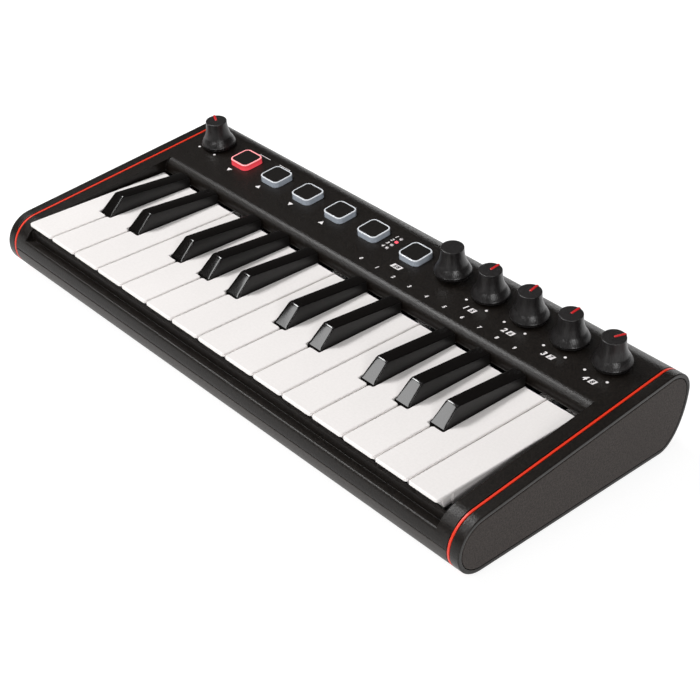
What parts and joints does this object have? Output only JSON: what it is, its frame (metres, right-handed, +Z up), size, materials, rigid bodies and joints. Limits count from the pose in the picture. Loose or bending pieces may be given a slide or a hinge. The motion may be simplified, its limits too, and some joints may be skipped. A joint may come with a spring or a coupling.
{
  "type": "mini midi keyboard",
  "caption": "Compact keyboard controller with mini piano keys hinged at the back, turning knobs and push buttons on a sloping panel, in a low two-shell case with capped ends.",
  "frame": {"origin": "middle of the footprint at the level the rubber feet stand on", "axes": "+X along the keys from low to high notes, +Y from the player to the back, +Z up; +Z is the shortest extent"},
  "size_m": [0.325, 0.1465, 0.0587],
  "materials": {
    "case_plastic": "satin black, fine texture",
    "base_plastic": "satin dark grey",
    "stripe": "orange-red, semi-gloss",
    "end_panel": "grey, fine texture",
    "white_key": "white, semi-gloss",
    "black_key": "black, gloss top and matt sides",
    "knob": "satin black, fine grain, red pointer",
    "button": "clear blue-grey with a black top",
    "lit_button": "lit red with a black top",
    "lamp": "clear windows, one lit red",
    "rubber": "matt",
    "frame_plastic": "matt",
    "steel": "bright",
    "board": "green circuit board",
    "socket": "black"
  },
  "bodies": {
    "case": {"top_case": "case_plastic", "end_cap_left": "case_plastic", "end_cap_right": "case_plastic", "bottom_case": "base_plastic", "stripe_left": "stripe", "stripe_right": "stripe", "end_panel_left": "end_panel", "end_panel_right": "end_panel", "key_bed": "frame_plastic", "hinge_rod": "steel", "contact_strip": "rubber", "control_board": "board", "socket_board": "board", "lamp_bar": "lamp", "phone_jack": "socket", "usb_socket": "steel", "foot_1": "rubber", "foot_2": "rubber", "foot_3": "rubber", "foot_4": "rubber"},
    "white_key_01": {"white_key_01": "white_key"},
    "white_key_02": {"white_key_02": "white_key"},
    "white_key_03": {"white_key_03": "white_key"},
    "white_key_04": {"white_key_04": "white_key"},
    "white_key_05": {"white_key_05": "white_key"},
    "white_key_06": {"white_key_06": "white_key"},
    "white_key_07": {"white_key_07": "white_key"},
    "white_key_08": {"white_key_08": "white_key"},
    "white_key_09": {"white_key_09": "white_key"},
    "white_key_10": {"white_key_10": "white_key"},
    "white_key_11": {"white_key_11": "white_key"},
    "white_key_12": {"white_key_12": "white_key"},
    "white_key_13": {"white_key_13": "white_key"},
    "white_key_14": {"white_key_14": "white_key"},
    "white_key_15": {"white_key_15": "white_key"},
    "black_key_01": {"black_key_01": "black_key"},
    "black_key_02": {"black_key_02": "black_key"},
    "black_key_03": {"black_key_03": "black_key"},
    "black_key_04": {"black_key_04": "black_key"},
    "black_key_05": {"black_key_05": "black_key"},
    "black_key_06": {"black_key_06": "black_key"},
    "black_key_07": {"black_key_07": "black_key"},
    "black_key_08": {"black_key_08": "black_key"},
    "black_key_09": {"black_key_09": "black_key"},
    "black_key_10": {"black_key_10": "black_key"},
    "button_1": {"button_1": "lit_button"},
    "button_2": {"button_2": "button"},
    "button_3": {"button_3": "button"},
    "button_4": {"button_4": "button"},
    "button_5": {"button_5": "button"},
    "button_6": {"button_6": "button"},
    "knob_volume": {"knob_volume": "knob"},
    "knob_1": {"knob_1": "knob"},
    "knob_2": {"knob_2": "knob"},
    "knob_3": {"knob_3": "knob"},
    "knob_4": {"knob_4": "knob"},
    "encoder_shaft": {"encoder_shaft": "steel"},
    "knob_data": {"knob_data": "knob"}
  },
  "joints": [
    {"name": "white_key_01_press", "type": "hinge", "parent": "case", "child": "white_key_01", "pos_m": [-0.14092, 0.02695, 0.0275], "axis": [1, 0, 0], "range_deg": [0, 1.9], "stiffness_Nm_per_rad": 0.87, "springref_deg": -1.89},
    {"name": "white_key_02_press", "type": "hinge", "parent": "case", "child": "white_key_02", "pos_m": [-0.11808, 0.02695, 0.0275], "axis": [1, 0, 0], "range_deg": [0, 1.9], "stiffness_Nm_per_rad": 0.87, "springref_deg": -1.89},
    {"name": "white_key_03_press", "type": "hinge", "parent": "case", "child": "white_key_03", "pos_m": [-0.09524, 0.02695, 0.0275], "axis": [1, 0, 0], "range_deg": [0, 1.9], "stiffness_Nm_per_rad": 0.87, "springref_deg": -1.89},
    {"name": "white_key_04_press", "type": "hinge", "parent": "case", "child": "white_key_04", "pos_m": [-0.08188, 0.02695, 0.0275], "axis": [1, 0, 0], "range_deg": [0, 1.9], "stiffness_Nm_per_rad": 0.87, "springref_deg": -1.89},
    {"name": "white_key_05_press", "type": "hinge", "parent": "case", "child": "white_key_05", "pos_m": [-0.06004, 0.02695, 0.0275], "axis": [1, 0, 0], "range_deg": [0, 1.9], "stiffness_Nm_per_rad": 0.87, "springref_deg": -1.89},
    {"name": "white_key_06_press", "type": "hinge", "parent": "case", "child": "white_key_06", "pos_m": [-0.03836, 0.02695, 0.0275], "axis": [1, 0, 0], "range_deg": [0, 1.9], "stiffness_Nm_per_rad": 0.87, "springref_deg": -1.89},
    {"name": "white_key_07_press", "type": "hinge", "parent": "case", "child": "white_key_07", "pos_m": [-0.01652, 0.02695, 0.0275], "axis": [1, 0, 0], "range_deg": [0, 1.9], "stiffness_Nm_per_rad": 0.87, "springref_deg": -1.89},
    {"name": "white_key_08_press", "type": "hinge", "parent": "case", "child": "white_key_08", "pos_m": [-0.00316, 0.02695, 0.0275], "axis": [1, 0, 0], "range_deg": [0, 1.9], "stiffness_Nm_per_rad": 0.87, "springref_deg": -1.89},
    {"name": "white_key_09_press", "type": "hinge", "parent": "case", "child": "white_key_09", "pos_m": [0.01968, 0.02695, 0.0275], "axis": [1, 0, 0], "range_deg": [0, 1.9], "stiffness_Nm_per_rad": 0.87, "springref_deg": -1.89},
    {"name": "white_key_10_press", "type": "hinge", "parent": "case", "child": "white_key_10", "pos_m": [0.04252, 0.02695, 0.0275], "axis": [1, 0, 0], "range_deg": [0, 1.9], "stiffness_Nm_per_rad": 0.87, "springref_deg": -1.89},
    {"name": "white_key_11_press", "type": "hinge", "parent": "case", "child": "white_key_11", "pos_m": [0.05588, 0.02695, 0.0275], "axis": [1, 0, 0], "range_deg": [0, 1.9], "stiffness_Nm_per_rad": 0.87, "springref_deg": -1.89},
    {"name": "white_key_12_press", "type": "hinge", "parent": "case", "child": "white_key_12", "pos_m": [0.07772, 0.02695, 0.0275], "axis": [1, 0, 0], "range_deg": [0, 1.9], "stiffness_Nm_per_rad": 0.87, "springref_deg": -1.89},
    {"name": "white_key_13_press", "type": "hinge", "parent": "case", "child": "white_key_13", "pos_m": [0.0994, 0.02695, 0.0275], "axis": [1, 0, 0], "range_deg": [0, 1.9], "stiffness_Nm_per_rad": 0.87, "springref_deg": -1.89},
    {"name": "white_key_14_press", "type": "hinge", "parent": "case", "child": "white_key_14", "pos_m": [0.12124, 0.02695, 0.0275], "axis": [1, 0, 0], "range_deg": [0, 1.9], "stiffness_Nm_per_rad": 0.87, "springref_deg": -1.89},
    {"name": "white_key_15_press", "type": "hinge", "parent": "case", "child": "white_key_15", "pos_m": [0.13676, 0.02695, 0.0275], "axis": [1, 0, 0], "range_deg": [0, 1.9], "stiffness_Nm_per_rad": 0.87, "springref_deg": -1.89},
    {"name": "black_key_01_press", "type": "hinge", "parent": "case", "child": "black_key_01", "pos_m": [-0.12992, 0.02695, 0.0275], "axis": [1, 0, 0], "range_deg": [0, 1.9], "stiffness_Nm_per_rad": 0.87, "springref_deg": -1.89},
    {"name": "black_key_02_press", "type": "hinge", "parent": "case", "child": "black_key_02", "pos_m": [-0.10624, 0.02695, 0.0275], "axis": [1, 0, 0], "range_deg": [0, 1.9], "stiffness_Nm_per_rad": 0.87, "springref_deg": -1.89},
    {"name": "black_key_03_press", "type": "hinge", "parent": "case", "child": "black_key_03", "pos_m": [-0.07088, 0.02695, 0.0275], "axis": [1, 0, 0], "range_deg": [0, 1.9], "stiffness_Nm_per_rad": 0.87, "springref_deg": -1.89},
    {"name": "black_key_04_press", "type": "hinge", "parent": "case", "child": "black_key_04", "pos_m": [-0.0492, 0.02695, 0.0275], "axis": [1, 0, 0], "range_deg": [0, 1.9], "stiffness_Nm_per_rad": 0.87, "springref_deg": -1.89},
    {"name": "black_key_05_press", "type": "hinge", "parent": "case", "child": "black_key_05", "pos_m": [-0.02752, 0.02695, 0.0275], "axis": [1, 0, 0], "range_deg": [0, 1.9], "stiffness_Nm_per_rad": 0.87, "springref_deg": -1.89},
    {"name": "black_key_06_press", "type": "hinge", "parent": "case", "child": "black_key_06", "pos_m": [0.00784, 0.02695, 0.0275], "axis": [1, 0, 0], "range_deg": [0, 1.9], "stiffness_Nm_per_rad": 0.87, "springref_deg": -1.89},
    {"name": "black_key_07_press", "type": "hinge", "parent": "case", "child": "black_key_07", "pos_m": [0.03152, 0.02695, 0.0275], "axis": [1, 0, 0], "range_deg": [0, 1.9], "stiffness_Nm_per_rad": 0.87, "springref_deg": -1.89},
    {"name": "black_key_08_press", "type": "hinge", "parent": "case", "child": "black_key_08", "pos_m": [0.06688, 0.02695, 0.0275], "axis": [1, 0, 0], "range_deg": [0, 1.9], "stiffness_Nm_per_rad": 0.87, "springref_deg": -1.89},
    {"name": "black_key_09_press", "type": "hinge", "parent": "case", "child": "black_key_09", "pos_m": [0.08856, 0.02695, 0.0275], "axis": [1, 0, 0], "range_deg": [0, 1.9], "stiffness_Nm_per_rad": 0.87, "springref_deg": -1.89},
    {"name": "black_key_10_press", "type": "hinge", "parent": "case", "child": "black_key_10", "pos_m": [0.11024, 0.02695, 0.0275], "axis": [1, 0, 0], "range_deg": [0, 1.9], "stiffness_Nm_per_rad": 0.87, "springref_deg": -1.89},
    {"name": "button_1_press", "type": "slide", "parent": "case", "child": "button_1", "axis": [0, 0.108, -0.9942], "range_m": [0, 0.001], "stiffness_N_per_m": 600, "springref_m": -0.0015},
    {"name": "button_2_press", "type": "slide", "parent": "case", "child": "button_2", "axis": [0, 0.108, -0.9942], "range_m": [0, 0.001], "stiffness_N_per_m": 600, "springref_m": -0.0015},
    {"name": "button_3_press", "type": "slide", "parent": "case", "child": "button_3", "axis": [0, 0.108, -0.9942], "range_m": [0, 0.001], "stiffness_N_per_m": 600, "springref_m": -0.0015},
    {"name": "button_4_press", "type": "slide", "parent": "case", "child": "button_4", "axis": [0, 0.108, -0.9942], "range_m": [0, 0.001], "stiffness_N_per_m": 600, "springref_m": -0.0015},
    {"name": "button_5_press", "type": "slide", "parent": "case", "child": "button_5", "axis": [0, 0.108, -0.9942], "range_m": [0, 0.001], "stiffness_N_per_m": 600, "springref_m": -0.0015},
    {"name": "button_6_press", "type": "slide", "parent": "case", "child": "button_6", "axis": [0, 0.108, -0.9942], "range_m": [0, 0.001], "stiffness_N_per_m": 600, "springref_m": -0.0015},
    {"name": "knob_volume_turn", "type": "hinge", "parent": "case", "child": "knob_volume", "pos_m": [-0.1386, 0.04784, 0.04185], "axis": [0, -0.108, 0.9942], "range_deg": [-212, 88]},
    {"name": "knob_1_turn", "type": "hinge", "parent": "case", "child": "knob_1", "pos_m": [0.06387, 0.04784, 0.04185], "axis": [0, -0.108, 0.9942], "range_deg": [-150, 150]},
    {"name": "knob_2_turn", "type": "hinge", "parent": "case", "child": "knob_2", "pos_m": [0.08838, 0.04784, 0.04185], "axis": [0, -0.108, 0.9942], "range_deg": [-150, 150]},
    {"name": "knob_3_turn", "type": "hinge", "parent": "case", "child": "knob_3", "pos_m": [0.11289, 0.04784, 0.04185], "axis": [0, -0.108, 0.9942], "range_deg": [-150, 150]},
    {"name": "knob_4_turn", "type": "hinge", "parent": "case", "child": "knob_4", "pos_m": [0.1374, 0.04784, 0.04185], "axis": [0, -0.108, 0.9942], "range_deg": [-125, 175]},
    {"name": "encoder_push", "type": "slide", "parent": "case", "child": "encoder_shaft", "axis": [0, 0.108, -0.9942], "range_m": [0, 0.0005], "stiffness_N_per_m": 1200, "springref_m": -0.0015},
    {"name": "knob_data_turn", "type": "hinge", "parent": "encoder_shaft", "child": "knob_data", "pos_m": [0.03931, 0.04784, 0.04185], "axis": [0, -0.108, 0.9942], "continuous": true}
  ]
}
